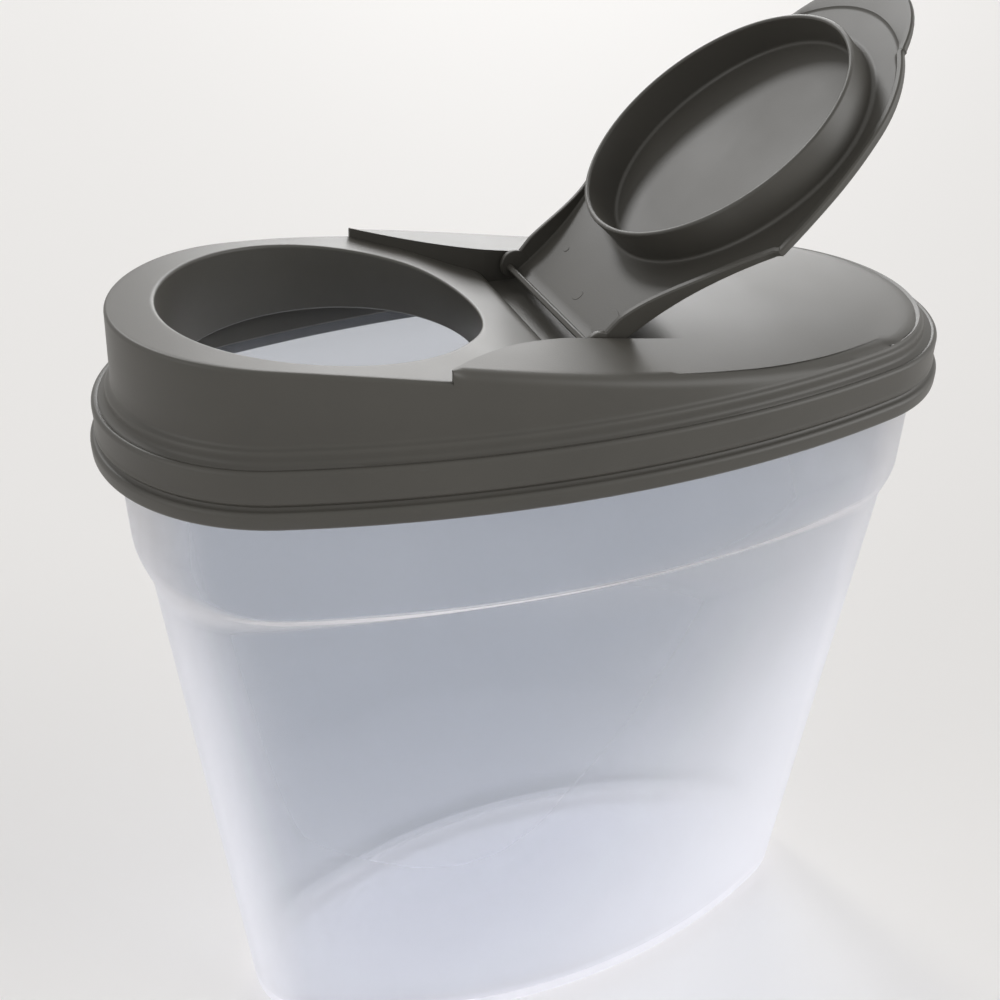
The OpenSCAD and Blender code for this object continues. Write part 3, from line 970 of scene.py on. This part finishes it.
def frostedPlastic():
    # clear plastic with a milky haze that grows where the wall is seen at a slant
    g = Graph(bpy.data.materials.new("frostedPlastic"))
    v = frostedFinish
    where = g.node("ShaderNodeTexCoord", out="Object")
    x = g.node("ShaderNodeSeparateXYZ", out="X", Vector=where)
    z = g.node("ShaderNodeSeparateXYZ", out="Z", Vector=where)
    cloud = g.node("ShaderNodeTexNoise", Vector=where, Scale=v["cloudScale"], Detail=3.0,
        Roughness=0.5)
    facing = g.node("ShaderNodeLayerWeight", out="Facing", Blend=0.5)
    slant = g.fade(facing, *v["slant"], v["milkFace"], v["milkEdge"])
    floor = g.fade(z, *v["floorZ"], 0.0, v["floorMilk"])
    # partly painted highlight: a milky stripe at the step of the wall, strongest mid side, stands
    # in for its thick plastic and for the glint along it
    offLine = g.math("ABSOLUTE", z - toMetres * tubValues["stepHeight"])
    line = g.fade(offLine, *v["lineAway"], 0.0, v["lineMilkAndHighlight"])
    middle = g.fade(g.math("ABSOLUTE", x), *v["lineEnd"], 0.0, 1.0)
    milky = slant + v["cloudDepth"] * (cloud - 0.5) + floor
    milkShare = g.math("ADD", milky, line * middle, clamp=True)
    # the rounding between wall and floor stays clear, darkened by painted shade
    # painted shade: a share of the clear colour is swapped for the dark root colour low on the wall
    root = g.fade(z, *v["rootZ"], 1.0, v["clearLeftByRootShade"])
    clearColour = g.mixColour(root, v["rootShadeColour"], v["clear"])
    clear = g.node("ShaderNodeBsdfPrincipled", Base_Color=clearColour, Roughness=v["roughness"],
        IOR=v["ior"], Transmission_Weight=v["transmission"])
    milk = g.node("ShaderNodeBsdfPrincipled", Base_Color=v["milk"], Roughness=v["milkRoughness"])
    glow = g.node("ShaderNodeBsdfTranslucent", Color=v["glow"])
    body = g.mixShader(milkShare, clear, g.mixShader(v["glowShare"], milk, glow))
    # lamps shine through the walls, a little dimmed
    shadow = g.node("ShaderNodeLightPath", out="Is Shadow Ray")
    through = g.node("ShaderNodeBsdfTransparent", Color=v["shade"])
    return g.finish(g.mixShader(shadow, body, through))


grey = greyPlastic()
frosted = frostedPlastic()
for piece, node, body, slot, material in (
    (tub, "tub", "tub_body", "clear_plastic", frosted),
    (lid, "lid", "lid_body", "grey_plastic", grey),
    (flap, "flap", "flap_body", "grey_plastic", grey),
):
    piece.data.materials.append(material)
    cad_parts[node].data.materials.clear()
    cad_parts[node].data.materials.append(material)
    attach(piece, body)
    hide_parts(node)
print("materials on")

stageValues = {
    "floorColour": (0.86, 0.845, 0.83, 1),
    "floorRoughness": 0.7,
    "floorSize": 6.0,
    "worldColour": (0.95, 0.94, 0.93, 1),
    "worldStrength": 0.42,
    "backdropColour": (0.81, 0.80, 0.785, 1),
    # direction towards each sun, strength and spread in degrees
    "key": ((-0.19, 0.75, 0.63), 0.68, 12),
    "window": ((0.36, 0.86, 0.36), 1.35, 34),
    "side": ((0.80, -0.40, 0.40), 1.1, 40),
    "left": ((-0.85, -0.2, 0.4), 0.3, 40),
}


def buildFloor():
    bm = bmesh.new()
    bmesh.ops.create_grid(bm, x_segments=1, y_segments=1, size=stageValues["floorSize"])
    mesh = bpy.data.meshes.new("floor")
    bm.to_mesh(mesh)
    bm.free()
    floor = bpy.data.objects.new("floor", mesh)
    bpy.context.scene.collection.objects.link(floor)
    g = Graph(bpy.data.materials.new("paleFloor"))
    shader = g.node("ShaderNodeBsdfPrincipled", Base_Color=stageValues["floorColour"],
        Roughness=stageValues["floorRoughness"])
    mesh.materials.append(g.finish(shader))


def sunLight(name):
    towards, strength, spread = stageValues[name]
    light = bpy.data.lights.new(name, "SUN")
    light.energy = strength
    light.angle = math.radians(spread)
    lamp = bpy.data.objects.new(name, light)
    lamp.rotation_euler = Vector(towards).to_track_quat("Z", "Y").to_euler()
    bpy.context.scene.collection.objects.link(lamp)


def buildWorld():
    # soft light all round, and a pale backdrop where the camera, a gloss or a clear wall
    # looks past the floor
    v = stageValues
    g = Graph(bpy.data.worlds.new("studio"), "World")
    light = g.node("ShaderNodeBackground", Color=v["worldColour"], Strength=v["worldStrength"])
    backdrop = g.node("ShaderNodeBackground", Color=v["backdropColour"])
    seen = g.node("ShaderNodeLightPath", out="Is Camera Ray")
    for ray in ("Is Glossy Ray", "Is Transmission Ray"):
        seen = g.math("MAXIMUM", seen, g.node("ShaderNodeLightPath", out=ray))
    bpy.context.scene.world = g.finish(g.mixShader(seen, light, backdrop))


cameraValues = {
    "place": (-0.1185, -0.2832, 0.3877),
    "azimuth": -21.735,
    "elevation": 29.67,
    "roll": 1.545,
    "sensor": 36.0,
    "lens": 40.61,
    "shift": (-0.02505, -0.06155),
}


def buildCamera():
    v = cameraValues
    az, el = math.radians(v["azimuth"]), math.radians(v["elevation"])
    back = Vector((math.sin(az) * math.cos(el), -math.cos(az) * math.cos(el), math.sin(el)))
    right = (-back).cross(Vector((0, 0, 1))).normalized()
    up = right.cross(-back).normalized()
    c, s = math.cos(math.radians(v["roll"])), math.sin(math.radians(v["roll"]))
    right, up = c * right + s * up, c * up - s * right
    data = bpy.data.cameras.new("photoCamera")
    data.sensor_width = v["sensor"]
    data.lens = v["lens"]
    data.shift_x, data.shift_y = v["shift"]
    data.clip_start = 0.01
    camera = bpy.data.objects.new("photoCamera", data)
    turned = Matrix((right, up, back)).transposed().to_4x4()
    camera.matrix_world = Matrix.Translation(Vector(v["place"])) @ turned
    bpy.context.scene.collection.objects.link(camera)
    bpy.context.scene.camera = camera


buildFloor()
for name in ("key", "window", "side", "left"):
    sunLight(name)
buildCamera()
buildWorld()
bpy.context.scene.view_settings.view_transform = "Standard"
print("stage ready")
